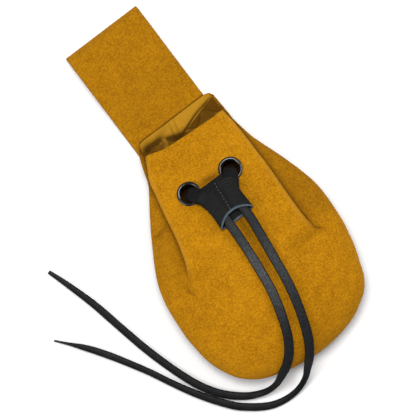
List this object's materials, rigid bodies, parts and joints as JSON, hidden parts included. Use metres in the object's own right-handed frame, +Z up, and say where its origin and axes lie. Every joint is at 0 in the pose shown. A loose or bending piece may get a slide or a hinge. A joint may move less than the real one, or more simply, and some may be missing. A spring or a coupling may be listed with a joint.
{
  "type": "medieval belt pouch",
  "caption": "Drawn-shut suede drawstring pouch with a wide belt loop, front eyelets, a leather slider and long flat lace tails, lying on its back.",
  "frame": {"origin": "centre of the bottom of the box round the bag and its belt loop, on the surface that the pouch lies on", "axes": "+X across the bag to the right as seen from the front, +Y along the bag towards the belt loop, +Z up from the surface towards the bag's front"},
  "size_m": [0.2012, 0.2673, 0.0395],
  "materials": {
    "suede_outer": "ochre suede with a short matt nap",
    "eyelet_metal": "gloss black",
    "slider_leather": "matt black leather with grey cut edges",
    "lace_leather": "smooth black leather with a soft shine"
  },
  "bodies": {
    "root": {"belt_loop": "suede_outer", "back_panel": "suede_outer", "front_panel": "suede_outer", "eyelet_left": "eyelet_metal", "eyelet_right": "eyelet_metal", "slider": "slider_leather", "drawstring": "lace_leather", "lace_left": "lace_leather", "lace_right": "lace_leather"}
  },
  "joints": []
}
